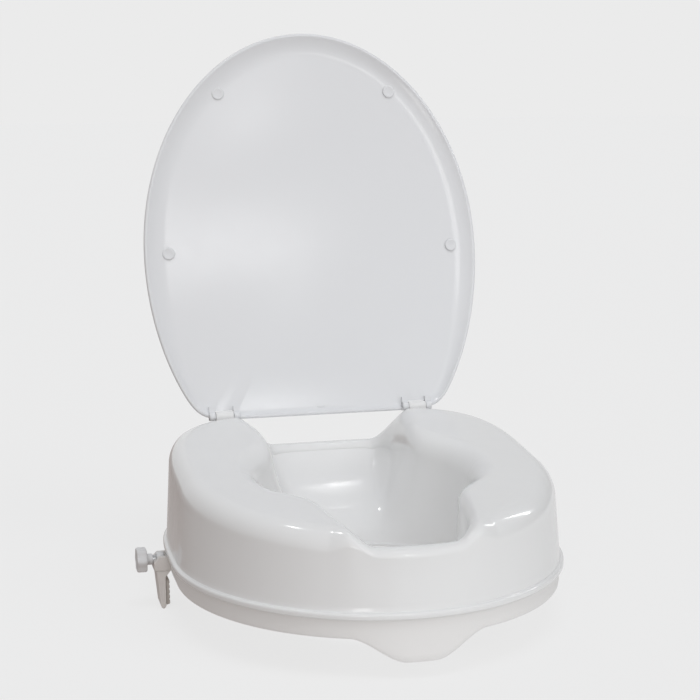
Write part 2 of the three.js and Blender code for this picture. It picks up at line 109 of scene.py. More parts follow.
HINGE_Y, HINGE_Z = 193.5, 124.5
HINGE_RADIUS = 5
HINGE_ROOT = 13
PIN_RADIUS = 2.0
KNUCKLE = (95.5, 114.5)
CHEEK = 6.5
OPEN_ANGLE = math.radians(100.7)
LID = dict(
    half_width=180, centre=170, front=232, rear=250, overhang=4, corner=26, thick=3.0, under=4.2, dome=2.5,
)
BUMPER_PLACES = {"rear": (154, 173), "front": (93, 340)}

CLAMP_Y, CLAMP_Z = 66, 10.5
CLAMP_HALF = 13
CLAMP_CENTRE = (CLAMP_Y, CLAMP_Z)
ROD_RADIUS = 4.0
WINDOW = dict(near=157, far=205, low=-5)
NUT_BLOCK = dict(near=143, far=156.5, half=11, top=21)
NUT_POCKET = dict(near=145.7, far=152.8, radius=7.8, half=7.5, top=22)
HEAD_POCKET = dict(near=187.9, far=196.3, half=7.4, top=16)
SEAM = dict(near=185, far=200, half=0.9, low=0.62, high=1.58)

SCREW_ELLIPSE = (160, 178)
SCREW_ANGLES = (28, 62, 138, -28, -62, -138)
SCREW_HOLE = 2.1
SIDES = (("left", -1), ("right", 1))


# ---- outlines and heights ----
def clamp01(t):
    return min(1.0, max(0.0, t))


def mix(a, b, t):
    return a + (b - a) * t


def smooth(value, low, high):
    t = clamp01((value - low) / (high - low))
    return t * t * (3 - 2 * t)


def super_radius(s, c, half_width, length, power):
    """Radius of a superellipse along the direction whose two parts are s and c."""
    return (abs(s / half_width) ** power + abs(c / length) ** power) ** (-1 / power)


def outline_radius(phi):
    s, c = math.sin(phi), math.cos(phi)
    if c > 0:
        return super_radius(s, c, HALF_WIDTH, FRONT_LENGTH, FRONT_POWER)
    return super_radius(s, c, HALF_WIDTH, REAR_LENGTH, REAR_POWER)


def bowl_radius(phi):
    s, c = math.sin(phi), math.cos(phi)
    channel = FRONT_CHANNEL if c > 0 else REAR_CHANNEL
    oval = super_radius(s, c, BOWL_HALF_WIDTH, BOWL_FRONT if c > 0 else BOWL_REAR, 2)
    slot = super_radius(s, c, channel["half_width"], channel["reach"], channel["power"])
    return (oval**10 + slot**10) ** 0.1


def mouth_radius(phi):
    c = math.cos(phi)
    length = MOUTH["front"] if c > 0 else MOUTH["rear"]
    return super_radius(math.sin(phi), c, MOUTH["half_width"], length, 2)


def top_drop(x, y):
    """How far the cut-outs lower the top at a point."""
    channel = FRONT_CHANNEL if y < 0 else REAR_CHANNEL
    shifted = abs(x) - channel["spread"] * (abs(y) - CHANNEL_MIDDLE)
    across = 1 - smooth(shifted, channel["flat"], channel["fade"])
    return channel["depth"] * across * smooth(abs(y), channel["start"], channel["end"])


# ---- mesh helpers ----
def about(middle, half):
    """The two ends of a span about its middle."""
    return (middle - half, middle + half)


def reach(side, cut):
    """The span of a cut along X, on one side of the seat."""
    return (side * cut["near"], side * cut["far"])


def rod_profile(radius, low, high):
    """The turned profile of a plain rod."""
    return [(0, low), (radius, low), (radius, high), (0, high)]


def arc(x, z, radius, start, end, steps):
    """Points on an arc about (x, z), from one angle to another in degrees."""
    angles = [math.radians(mix(start, end, k / steps)) for k in range(steps + 1)]
    return [(x + radius * math.cos(a), z + radius * math.sin(a)) for a in angles]


def rounded(corners):
    """A closed outline with each corner (x, z, radius, steps) replaced by an arc of steps pieces."""
    points = []
    n = len(corners)
    for i, (x, z, radius, steps) in enumerate(corners):
        here = Vector((x, z))
        before = Vector(corners[i - 1][:2]) - here
        after = Vector(corners[(i + 1) % n][:2]) - here
        if radius <= 0 or steps < 1:
            points.append((x, z))
            continue
        a, b = before.normalized(), after.normalized()
        half = 0.5 * math.acos(max(-1.0, min(1.0, a.dot(b))))
        cut = min(radius / math.tan(half), 0.49 * before.length, 0.49 * after.length)
        start, end = here + a * cut, here + b * cut
        middle = here + (a + b).normalized() * (cut / math.cos(half))
        u, w = start - middle, end - middle
        sweep = math.acos(max(-1.0, min(1.0, u.normalized().dot(w.normalized()))))
        turn = 1 if u.x * w.y - u.y * w.x > 0 else -1
        for k in range(steps + 1):
            angle = turn * sweep * k / steps
            c, s = math.cos(angle), math.sin(angle)
            points.append((middle.x + u.x * c - u.y * s, middle.y + u.x * s + u.y * c))
    return points


def settle(mesh):
    """Merges doubled points, turns every face outwards and marks the sharp edges."""
    bm = bmesh.new()
    bm.from_mesh(mesh)
    bmesh.ops.remove_doubles(bm, verts=bm.verts, dist=0.002 * MM)
    bmesh.ops.dissolve_degenerate(bm, edges=bm.edges, dist=0.001 * MM)
    loose = [v for v in bm.verts if not v.link_faces]
    bmesh.ops.delete(bm, geom=loose, context="VERTS")
    bmesh.ops.recalc_face_normals(bm, faces=bm.faces)
    for face in bm.faces:
        face.smooth = True
    for edge in bm.edges:
        edge.smooth = edge.calc_face_angle(0) < SHARP
    bm.to_mesh(mesh)
    bm.free()


def solid(name, vertices, faces):
    mesh = bpy.data.meshes.new(name)
    mesh.from_pydata([Vector(p) * MM for p in vertices], [], faces)
    settle(mesh)
    made = bpy.data.objects.new(name, mesh)
    bpy.context.scene.collection.objects.link(made)
    return made


def grid(name, rows, wrap_rows=True, wrap_points=True, caps=False):
    """A solid over rows of points in millimetres, with the same number of points in each row."""
    around, along = len(rows), len(rows[0])
    faces = []
    for i in range(around if wrap_rows else around - 1):
        for j in range(along if wrap_points else along - 1):
            i2, j2 = (i + 1) % around, (j + 1) % along
            faces.append((i * along + j, i2 * along + j, i2 * along + j2, i * along + j2))
    if caps:
        faces.append(tuple(range(along)))
        faces.append(tuple((around - 1) * along + j for j in reversed(range(along))))
    return solid(name, [p for row in rows for p in row], faces)


def prism(name, outline, place, low, high, edge, steps=3):
    """An outline drawn out from low to high, with the edges of both ends rounded.
    place(a, b, t) gives a point."""
    n = len(outline)
    area = sum(
        outline[i - 1][0] * outline[i][1] - outline[i][0] * outline[i - 1][1] for i in range(n)
    )
    turn = 1 if area > 0 else -1
    inward = []
    for i in range(n):
        a, b = Vector(outline[i - 1]), Vector(outline[(i + 1) % n])
        along = (b - a).normalized()
        inward.append((-along.y * turn, along.x * turn))
    quarter = [k / steps * math.pi / 2 for k in range(steps + 1)]
    levels = [(edge * (1 - math.sin(a)), edge * (1 - math.cos(a))) for a in quarter]
    rows = [(inset, low + rise) for inset, rise in levels]
    rows += [(inset, high - rise) for inset, rise in reversed(levels)]
    points = [
        [place(a + dx * inset, b + dy * inset, t) for (a, b), (dx, dy) in zip(outline, inward)]
        for inset, t in rows
    ]
    return grid(name, points, wrap_rows=False, caps=True)


def turned(name, profile, centre, along="x", steps=64, shape=None, closed=True, sign=1):
    """A turned solid: profile holds (radius, place along the axis).
    shape changes a radius with the angle."""
    rows = []
    cy, cz = centre
    for k in range(steps):
        angle = TURN * k / steps
        row = []
        for radius, a in profile:
            r = shape(angle, radius) if shape else radius
            u, w = r * math.cos(angle), r * math.sin(angle)
            row.append((sign * a, cy + u, cz + w) if along == "x" else (cy + u, cz + w, a))
        rows.append(row)
    return grid(name, rows, wrap_points=closed)


BOX_FACES = [(0, 1, 3, 2), (4, 6, 7, 5), (0, 4, 5, 1), (2, 3, 7, 6), (0, 2, 6, 4), (1, 5, 7, 3)]


def box(name, x, y, z):
    corners = [(i, j, k) for i in x for j in y for k in z]
    return solid(name, corners, BOX_FACES)


def combine(target, tool, operation):
    """Adds or cuts a tool solid, and removes the tool."""
    modifier = target.modifiers.new("combine", "BOOLEAN")
    modifier.operation = operation
    modifier.solver = "EXACT"
    modifier.object = tool
    bpy.context.view_layer.update()
    evaluated = target.evaluated_get(bpy.context.evaluated_depsgraph_get())
    mesh = bpy.data.meshes.new_from_object(evaluated)
    target.modifiers.clear()
    old = target.data
    target.data = mesh
    bpy.data.meshes.remove(old)
    bpy.data.objects.remove(tool)
    settle(mesh)
    mesh.name = target.name


def dress(piece, material, body, slot, *nodes):
    """Gives a piece its material and its body, and hides the CAD nodes that it stands for. The slot is not
    used.
    """
    piece.data.materials.clear()
    piece.data.materials.append(material)
    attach(piece, body)
    if nodes:
        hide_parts(*nodes)


# ---- materials ----
def node(tree, kind, **inputs):
    made = tree.nodes.new(kind)
    for name, value in inputs.items():
        made.inputs[name.replace("_", " ")].default_value = value
    return made


def noise(tree, place, scale, detail=2.0, roughness=0.5):
    made = node(tree, "ShaderNodeTexNoise", Scale=scale, Detail=detail, Roughness=roughness)
    tree.links.new(place, made.inputs["Vector"])
    return made.outputs["Fac"]


def moulded(
    name, dark, light, rough, waves, grain, coat=0.0, mottle=14.0, wave_scale=22.0, metal=0.0, stretch=None
):
    """A moulded surface: colour drifting between two tones, uneven gloss, broad waves, fine grain."""
    material = bpy.data.materials.new(name)
    material.use_nodes = True
    tree = material.node_tree
    shader = tree.nodes["Principled BSDF"]
    shader.inputs["Metallic"].default_value = metal
    shader.inputs["Coat Weight"].default_value = coat
    shader.inputs["Coat Roughness"].default_value = 0.06
    place = tree.nodes.new("ShaderNodeTexCoord").outputs["Object"]
    if stretch:
        scaled = tree.nodes.new("ShaderNodeMapping")
        scaled.inputs["Scale"].default_value = stretch
        tree.links.new(place, scaled.inputs["Vector"])
        place = scaled.outputs["Vector"]
    tone = tree.nodes.new("ShaderNodeMix")
    tone.data_type = "RGBA"
    tone.inputs[6].default_value = (*dark, 1)
    tone.inputs[7].default_value = (*light, 1)
    tree.links.new(noise(tree, place, mottle, 3.0), tone.inputs[0])
    tree.links.new(tone.outputs[2], shader.inputs["Base Color"])
    gloss = node(tree, "ShaderNodeMapRange", From_Min=0.3, From_Max=0.7, To_Min=rough[0], To_Max=rough[1])
    tree.links.new(noise(tree, place, 60.0, 4.0, 0.6), gloss.inputs["Value"])
    tree.links.new(gloss.outputs["Result"], shader.inputs["Roughness"])
    broad = node(tree, "ShaderNodeBump", Strength=1.0, Distance=waves)
    tree.links.new(noise(tree, place, wave_scale, 1.0), broad.inputs["Height"])
    fine = node(tree, "ShaderNodeBump", Strength=1.0, Distance=grain)
    tree.links.new(noise(tree, place, 900.0, 2.0), fine.inputs["Height"])
    tree.links.new(broad.outputs["Normal"], fine.inputs["Normal"])
    tree.links.new(fine.outputs["Normal"], shader.inputs["Normal"])
    return material


# each one: its two tones, its range of roughness, and the heights of its waves and of its grain in metres
SEAT = moulded(
    "seat_gloss", (0.775, 0.777, 0.775), (0.80, 0.802, 0.80), (0.11, 0.20), 5e-5, 2e-6, coat=0.35
)
BASE = moulded("base_satin", (0.79, 0.78, 0.77), (0.82, 0.81, 0.80), (0.34, 0.46), 5e-5, 6e-6)
LID_MATERIAL = moulded(
    "lid_satin", (0.735, 0.743, 0.758), (0.748, 0.757, 0.773), (0.13, 0.16), 6e-4, 1e-6,
    wave_scale=7.0, mottle=3.0,
)
BUMPER = moulded(
    "bumper_soft", (0.715, 0.723, 0.738), (0.735, 0.743, 0.758), (0.35, 0.45), 2e-5, 3e-6
)
CLAMP = moulded("clamp_satin", (0.64, 0.61, 0.585), (0.68, 0.65, 0.625), (0.38, 0.50), 4e-5, 8e-6)
KNOB = moulded("knob_satin", (0.68, 0.68, 0.685), (0.72, 0.72, 0.725), (0.34, 0.45), 3e-5, 6e-6)
RUBBER = moulded("pad_rubber", (0.43, 0.40, 0.37), (0.50, 0.465, 0.43), (0.7, 0.85), 4e-5, 2e-5)
STEEL = moulded(
    "zinc_steel", (0.60, 0.61, 0.62), (0.70, 0.71, 0.72), (0.26, 0.42), 0, 6e-6,
    metal=1.0, stretch=(1.0, 0.15, 0.15),
)

# ---- seat shell ----
SECTIONS = 480


def shell_section(phi):
    out = outline_radius(phi)
    wall = out - WALL_INSET
    bowl = bowl_radius(phi)
    mouth = mouth_radius(phi)
    width = wall - bowl
    outer = min(OUTER_ROUND, 0.45 * width)
    inner = min(mix(INNER_ROUND, FRONT_INNER_ROUND, smooth(math.cos(phi), 0.4, 0.9)), 0.5 * width)
    slope = math.cos(phi)

    def top(r):
        return TOP_HEIGHT - TOP_SLOPE * r * slope

    foot = out - BEAD_DEPTH
    section = [(foot - WALL, BEAD_LOW), (out - 1.3, BEAD_LOW)]
    section += arc(out - 1.3, BEAD_LOW + 1.3, 1.3, -90, 0, 3)[1:]
    section += arc(out - 2.3, BEAD_HIGH - 2.0, 2.3, 0, 84, 6)
    section += [
        (foot + 0.7, BEAD_HIGH + 0.42), (foot + 0.25, BEAD_HIGH + 0.75), (foot, BEAD_HIGH + 1.5),
    ]
    shoulder = top(wall) - outer
    for j in range(1, 12):
        t = j / 12
        section.append((mix(foot, wall, t), mix(BEAD_HIGH + 1.5, shoulder, t)))
    for j in range(13):
        a = j / 12 * math.pi / 2
        r = wall - outer + outer * math.cos(a)
        section.append((r, top(r) - outer + outer * math.sin(a)))
    for j in range(1, 6):
        r = mix(wall - outer, bowl + inner, j / 6)
        section.append((r, top(r)))
    for j in range(15):
        a = j / 14 * math.pi / 2
        r = bowl + inner - inner * math.sin(a)
        section.append((r, top(r) - inner + inner * math.cos(a)))
    rim = top(bowl) - inner
    for j in range(1, 10):
        section.append((mix(bowl, mouth, j / 10), mix(rim, LIP_HIGH + 4, j / 10)))
    section += [
        (mouth, LIP_HIGH + 4), (mouth - 0.4, LIP_HIGH + 2.2), (mouth - 1.4, LIP_HIGH + 0.9),
        (mouth - LIP_REACH + 0.6, LIP_HIGH + 0.1), (mouth - LIP_REACH, LIP_HIGH - 0.5),
        (mouth - LIP_REACH, LIP_LOW + 0.5), (mouth - LIP_REACH + 0.5, LIP_LOW),
        (mouth + WALL, LIP_LOW), (mouth + WALL, LIP_HIGH + 5),
    ]
    for t in (0.8, 0.6, 0.4, 0.2, 0.0):
        section.append((mix(bowl, mouth, t) + WALL, mix(rim, LIP_HIGH + 4, t)))
    for j in range(5):
        a = math.pi / 2 * (1 - (j + 1) / 5)
        r = bowl + inner - (inner - WALL) * math.sin(a)
        section.append((r, top(r) - inner + (inner - WALL) * math.cos(a)))
    for j in range(5):
        a = math.pi / 2 * (1 - j / 4)
        r = wall - outer + (outer - WALL) * math.cos(a)
        section.append((r, top(r) - outer + (outer - WALL) * math.sin(a)))
    return section


def shell_point(r, z, phi):
    x, y = r * math.sin(phi), -r * math.cos(phi)
    crown = TOP_HEIGHT + TOP_SLOPE * y
    share = clamp01((z - DROP_LOW) / (crown - OUTER_ROUND - DROP_LOW))
    return (x, y, z - top_drop(x, y) * share)


def ring_rows(section, point):
    angles = [TURN * k / SECTIONS for k in range(SECTIONS)]
    return [[point(r, z, phi) for r, z in section(phi)] for phi in angles]


def bored_bar(name, profile, bore, x, centre, edge):
    """A bar along X whose outline is radius(angle), with rounded ends and a bore through it."""
    x0, x1 = min(x), max(x)
    rows = []
    cy, cz = centre
    steps = 72
    for k in range(steps):
        angle = TURN * k / steps
        r = profile(angle)
        section = [(bore + 0.3, x0), (r - edge, x0), (r - 0.3 * edge, x0 + 0.3 * edge), (r, x0 + edge),
                   (r, x1 - edge), (r - 0.3 * edge, x1 - 0.3 * edge), (r - edge, x1), (bore + 0.3, x1),
                   (bore, x1 - 0.3), (bore, x0 + 0.3)]
        rows.append([(a, cy + q * math.cos(angle), cz + q * math.sin(angle)) for q, a in section])
    return grid(name, rows)


def knuckle_outline(angle):
    """Round above, and a root with upright sides and a flat sole below."""
    c, s = math.cos(angle), math.sin(angle)
    if s >= 0:
        return HINGE_RADIUS
    return min(HINGE_RADIUS / max(abs(c), 1e-6), HINGE_ROOT / -s)


shell = grid("shell_moulding", ring_rows(shell_section, shell_point))
for word, side in SIDES:
    span = (side * KNUCKLE[0], side * KNUCKLE[1])
    hinge = (HINGE_Y, HINGE_Z)
    knuckle = bored_bar(f"knuckle_{word}", knuckle_outline, PIN_RADIUS + 0.15, span, hinge, 0.8)
    combine(shell, knuckle, "UNION")
dress(shell, SEAT, "seat", "seat_plastic", "seat_shell")


# ---- base ring ----
def skirt_low(x, y):
    """How low the skirt's edge runs: level, but for the tongue at the front."""
    return -TONGUE["depth"] * (1 - smooth(abs(x), TONGUE["flat"], TONGUE["fade"])) if y < 0 else 0


def base_section(phi):
    out = outline_radius(phi) - SKIRT_INSET
    inner = mouth_radius(phi) + WALL + GAP + 0.2
    spigot = outline_radius(phi) - BEAD_DEPTH - WALL - 3 * GAP
    top = BEAD_LOW - GAP
    section = [(out - WALL, PLATE_LOW), (out - WALL, 0.5), (out - WALL + 0.5, 0)]
    section += [(out - 1.6, 0), (out - 1.0, 0.2), (out - 0.65, 0.7)]
    section += [(out - 0.6 * (1 - t) ** 2, mix(0.7, 9, t)) for t in (0.2, 0.4, 0.6, 0.8, 1.0)]
    section += [
        (out, 13), (out, top - 0.6), (out - 0.5, top), (spigot, top), (spigot, BEAD_LOW + 6),
        (spigot - 3, BEAD_LOW + 6), (spigot - 3, BEAD_LOW - 3), (out - WALL - 3, PLATE_HIGH),
        (inner, PLATE_HIGH), (inner, PLATE_LOW),
    ]
    return section


def base_point(r, z, phi):
    x, y = r * math.sin(phi), -r * math.cos(phi)
    out = outline_radius(phi) - SKIRT_INSET
    if r > out - WALL - 0.1 and z < 9:
        z += skirt_low(x, y) * (1 if z < PLATE_LOW - 0.1 else clamp01((9 - z) / (9 - 0.7)))
    return (x, y, z)


base = grid("base_moulding", ring_rows(base_section, base_point))
for word, side in SIDES:
    window_span = (WINDOW["low"], BEAD_LOW - GAP - 0.1)
    window = box("window", reach(side, WINDOW), about(CLAMP_Y, CLAMP_HALF + 1), window_span)
    block_span = (PLATE_LOW + 0.5, NUT_BLOCK["top"])
    block = box("block", reach(side, NUT_BLOCK), about(CLAMP_Y, NUT_BLOCK["half"]), block_span)
    hexagon = rod_profile(NUT_POCKET["radius"], NUT_POCKET["near"], NUT_POCKET["far"])
    pocket = turned("pocket", hexagon, CLAMP_CENTRE, steps=6, closed=False, sign=side)
    slot_span = (CLAMP_Z, NUT_POCKET["top"])
    slot = box("slot", reach(side, NUT_POCKET), about(CLAMP_Y, NUT_POCKET["half"]), slot_span)
    rod = rod_profile(ROD_RADIUS + GAP, 138, WINDOW["far"])
    hole = turned("hole", rod, CLAMP_CENTRE, steps=32, closed=False, sign=side)
    combine(base, window, "DIFFERENCE")
    combine(base, block, "UNION")
    for tool in (pocket, slot, hole):
        combine(base, tool, "DIFFERENCE")
for degrees in SCREW_ANGLES:
    phi = math.radians(degrees)
    place = (SCREW_ELLIPSE[0] * math.sin(phi), -SCREW_ELLIPSE[1] * math.cos(phi))
    rod = rod_profile(SCREW_HOLE, PLATE_LOW - 1, PLATE_HIGH + 1)
    combine(base, turned("hole", rod, place, along="z", steps=24, closed=False), "DIFFERENCE")
dress(base, BASE, "seat", "base_plastic", "base_ring")

# ---- anti-slip pads and base screws ----
for number, middle in enumerate(PAD_MIDDLES, 1):
    section = [(-9, 2), (-9, 0.6), (-8.4, 0)]
    for groove in PAD_GROOVES:
        section += [(groove - 0.9, 0), (groove - 0.6, 0.6), (groove + 0.6, 0.6), (groove + 0.9, 0)]
    section += [(8.4, 0), (9, 0.6), (9, 2)]
    rows = []
    first, last = about(middle - 90, PAD_HALF_SPAN)
    for k in range(PAD_STEPS + 1):
        a = math.radians(mix(first, last, k / PAD_STEPS))
        tuck = 0.5 if k in (0, PAD_STEPS) else 0
        c, s = math.cos(a), math.sin(a)
        rows.append([
            ((PAD_ELLIPSE[0] + r) * c, (PAD_ELLIPSE[1] + r) * s, max(z, tuck)) for r, z in section
        ])
    pad = grid(f"rest_pad_ribbed_{number}", rows, wrap_rows=False, caps=True)
    dress(pad, RUBBER, "seat", "pad_rubber", f"rest_pad_{number}")

HEAD_LOW = PLATE_LOW - GAP - 1.7
CROSS = (2.1, 0.4)
for number, degrees in enumerate(SCREW_ANGLES, 1):
    phi = math.radians(degrees)
    x, y = SCREW_ELLIPSE[0] * math.sin(phi), -SCREW_ELLIPSE[1] * math.cos(phi)
    profile = [(0, 0), (2.2, 0.05), (3.2, 0.35), (3.7, 0.9), (3.8, 1.3), (3.7, 1.7), (1.8, 1.7)]
    for k in range(11):
        profile += [(1.35, 2.6 + 1.1 * k), (1.8, 3.15 + 1.1 * k)]
    profile += [(1.3, 14.8), (0, 17)]
    profile = [(r, HEAD_LOW + z) for r, z in profile]
    screw = turned(f"base_screw_cross_{number}", profile, (x, y), along="z", steps=40, closed=False)
    for half_x, half_y in (CROSS, CROSS[::-1]):
        cross = box("cross", about(x, half_x), about(y, half_y), about(HEAD_LOW, 1))
        combine(screw, cross, "DIFFERENCE")
    dress(screw, STEEL, "seat", "steel", f"base_screw_{number}")


# ---- lid ----
def lid_radius(alpha):
    s, c = math.sin(alpha), math.cos(alpha)
    oval = super_radius(s, c, LID["half_width"], LID["front"] if c > 0 else LID["rear"], 2)
    if c >= 0:
        return oval
    edge = (LID["centre"] + LID["overhang"]) / -c
    power = LID["corner"]
    return (oval**-power + edge**-power) ** (-1 / power)


def lid_under(x, v):
    r = math.hypot(x, v - LID["centre"])
    edge = lid_radius(math.atan2(-x, v - LID["centre"]))
    return LID["under"] + LID["dome"] * (1 - (r / edge) ** 2)


def on_lid(x, v, t):
    """A point of the open lid, from its place on the shut one.
    v runs forwards and t upwards from the hinge."""
    c, s = math.cos(OPEN_ANGLE), math.sin(OPEN_ANGLE)
    return (x, HINGE_Y - v * c + t * s, HINGE_Z + v * s + t * c)


def lid_section(alpha):
    edge = lid_radius(alpha)
    under, thick, dome = LID["under"], LID["thick"], LID["dome"]
    curl = mix(7, 25, smooth(math.cos(alpha), -0.95, -0.3))
    lip = edge - 3.0

    def base_height(r):
        return under + dome * (1 - (r / edge) ** 2)

    section = [(edge * k / 10, base_height(edge * k / 10)) for k in range(8)]
    start = max(lip - curl, edge * 0.72)
    for k in range(1, 13):
        t = k / 12
        r = mix(start, lip, 1 - (1 - t) ** 1.6)
        fall = ((r - start) / (lip - start)) ** 2.6
        section.append((r, mix(base_height(r), under - 5, fall)))
    section += [
        (lip + 0.4, under - 5), (lip + 1.5, under - 5), (lip + 2.2, under - 4.7),
        (lip + 2.8, under - 4.0), (edge, under - 3.2), (edge, under - 1.0),
    ]
    section += arc(edge - 4.0, under - 1.0, 4.0, 0, 80, 7)[1:]
    for k in range(1, 6):
        r = mix(edge - 5, edge * 0.7, k / 5)
        section.append((r, mix(under + thick, base_height(r) + thick, k / 5)))
    section += [(edge * k / 10, base_height(edge * k / 10) + thick) for k in (5, 3, 1, 0)]
    return section


def lid_rows(steps=240):
    rows = []
    for k in range(steps):
        alpha = TURN * k / steps
        s, c = math.sin(alpha), math.cos(alpha)
        rows.append([on_lid(r * s, LID["centre"] + r * c, t) for r, t in lid_section(alpha)])
    return rows


def lid_box(name, x, v, t):
    return solid(name, [on_lid(i, j, k) for i in x for j in v for k in t], BOX_FACES)


lid = grid("lid_panel", lid_rows(), wrap_points=False)
clear = HINGE_RADIUS + 2 * GAP
ear_radius = HINGE_RADIUS - GAP
for word, side in SIDES:
    span = (side * (KNUCKLE[0] - GAP), side * (KNUCKLE[1] + GAP))
    combine(lid, lid_box("notch", span, (-clear, clear), (-clear, 2 * clear)), "DIFFERENCE")
    ears = ((KNUCKLE[0] - CHEEK, KNUCKLE[0] - GAP), (KNUCKLE[1] + GAP, KNUCKLE[1] + CHEEK))
    for near, far in ears:
        cheek = (side * near, side * far)
        neck = lid_box("neck", cheek, (-ear_radius + 0.4, 10), (0, LID["under"] + 2))
        combine(lid, neck, "UNION")
        ear = bored_bar("ear", lambda angle: ear_radius, 0.5, cheek, (HINGE_Y, HINGE_Z), 0.7)
        combine(lid, ear, "UNION")
    rod = rod_profile(PIN_RADIUS + 0.1, KNUCKLE[0] - CHEEK - GAP, KNUCKLE[1] + CHEEK + GAP)
    bore = turned("bore", rod, (HINGE_Y, HINGE_Z), steps=32, closed=False, sign=side)
    combine(lid, bore, "DIFFERENCE")
dress(lid, LID_MATERIAL, "lid", "lid_plastic", "lid")

# the small half-round mark in the middle of the lid's rear edge, standing off its underside by its rise
MARK = dict(v=5.6, half_width=5.6, depth=3.3, rise=0.7, sunk=0.4)
mark_root = lid_under(0, MARK["v"]) + MARK["sunk"]
rows = []
for k in range(9):
    level = k / 8
    shrink = 1 - 0.45 * (1 - math.sqrt(1 - level**2)) - 0.25 * level
    row = []
    for j in range(25):
        a = math.pi * j / 24
        x = MARK["half_width"] * math.cos(a) * shrink
        v = MARK["v"] - MARK["depth"] * math.sin(a) * shrink
        row.append(on_lid(x, v, mark_root - (MARK["sunk"] + MARK["rise"]) * level))
    rows.append(row)
mark = grid("lid_mark", rows, wrap_rows=False, caps=True)
dress(mark, LID_MATERIAL, "lid", "lid_plastic")

for place, (x, v) in BUMPER_PLACES.items():
    for word, side in SIDES:
        seat_height = lid_under(x, v) - GAP - 0.1
        profile = [
            (0, seat_height), (6.4, seat_height), (6.5, seat_height - 0.2), (6.4, 3.75), (6.1, 3.45),
            (5.5, 3.32), (5.0, 3.3), (4.4, 3.4), (3.8, 3.6), (0, 3.65),
        ]
        rows = []
        for k in range(48):
            a = TURN * k / 48
            rows.append([on_lid(side * x + r * math.cos(a), v + r * math.sin(a), t) for r, t in profile])
        pad = grid(f"lid_pad_{place}_{word}", rows, wrap_points=False)
        dress(pad, BUMPER, "lid", "bumper", f"lid_bumper_{place}_{word}")

for word, side in SIDES:
    low, high = KNUCKLE[0] - CHEEK + 0.5, KNUCKLE[1] + CHEEK - 0.5
    radius = PIN_RADIUS - 0.05
    profile = [
        (0, low), (radius - 0.5, low), (radius, low + 0.5),
        (radius, high - 0.5), (radius - 0.5, high), (0, high),
    ]
    pin = turned(f"pin_{word}", profile, (HINGE_Y, HINGE_Z), steps=40, closed=False, sign=side)
    dress(pin, STEEL, "lid", "steel", f"hinge_pin_{word}")

# ---- clamps ----
BRACKET_OUTLINE = rounded([
    (172, 1.2, 0.8, 2), (172, 15, 1.0, 3), (193.8, 15, 1.4, 4), (199.3, 9.5, 1.4, 4),
    (199.3, 1.2, 0.5, 2), (197.4, 1.2, 0.8, 2), (194.2, -33.5, 3.0, 3), (193.0, -36.5, 2.0, 3),
    (191.2, -37.5, 1.6, 3), (189.8, -36.5, 1.2, 2), (188.6, -34.5, 1.5, 2), (188.6, -5.5, 1.5, 3),
    (183, 1.2, 1.0, 2),
])
KNOB_PROFILE = [
    (0, 212.4), (4.3, 212.4), (4.3, 199.8), (5.1, 199.6), (5.5, 200.0), (5.5, 204.3), (6.0, 205.1),
    (7.0, 205.3), (11.0, 205.3), (12.0, 205.7), (12.6, 206.9), (12.6, 213.7), (12.2, 214.8),
    (11.2, 215.4), (8.6, 215.4), (7.6, 215.1), (7.0, 214.7), (0, 214.6),
]
COLLAR_PROFILE = [
    (4.3, 188.6), (4.7, 188.2), (5.6, 188.2), (6.3, 188.7), (6.7, 189.6), (6.9, 191.0), (6.9, 193.4),
    (6.7, 194.7), (6.3, 195.5), (5.6, 196.0), (4.7, 196.0), (4.3, 195.6),
]
PITCH = 2.0
THREAD = dict(first=136.4, last=187.0, depth=0.62, per_turn=8, around=32)


def grip_outline():
    high, low, back = -9.0, -34.5, 188.3
    pitch = (high - low) / 5
    corners = [(back, low, 0.4, 2), (back, high, 0.4, 2)]
    for k in range(5):
        start = high - k * pitch
        corners += [
            (back - 3.7, start - 0.15 * pitch, 0.5, 2), (back - 3.7, start - 0.7 * pitch, 0.5, 2),
            (back - 2.6, start - 0.85 * pitch, 0.4, 2),
        ]
    return rounded(corners)


def lobed(angle, radius):
    """Presses six hollows into the knob's rim, and leaves its neck round."""
    share = smooth(radius, 6.5, 11)
    return radius - 1.7 * share * (1 - math.cos(6 * angle)) / 2


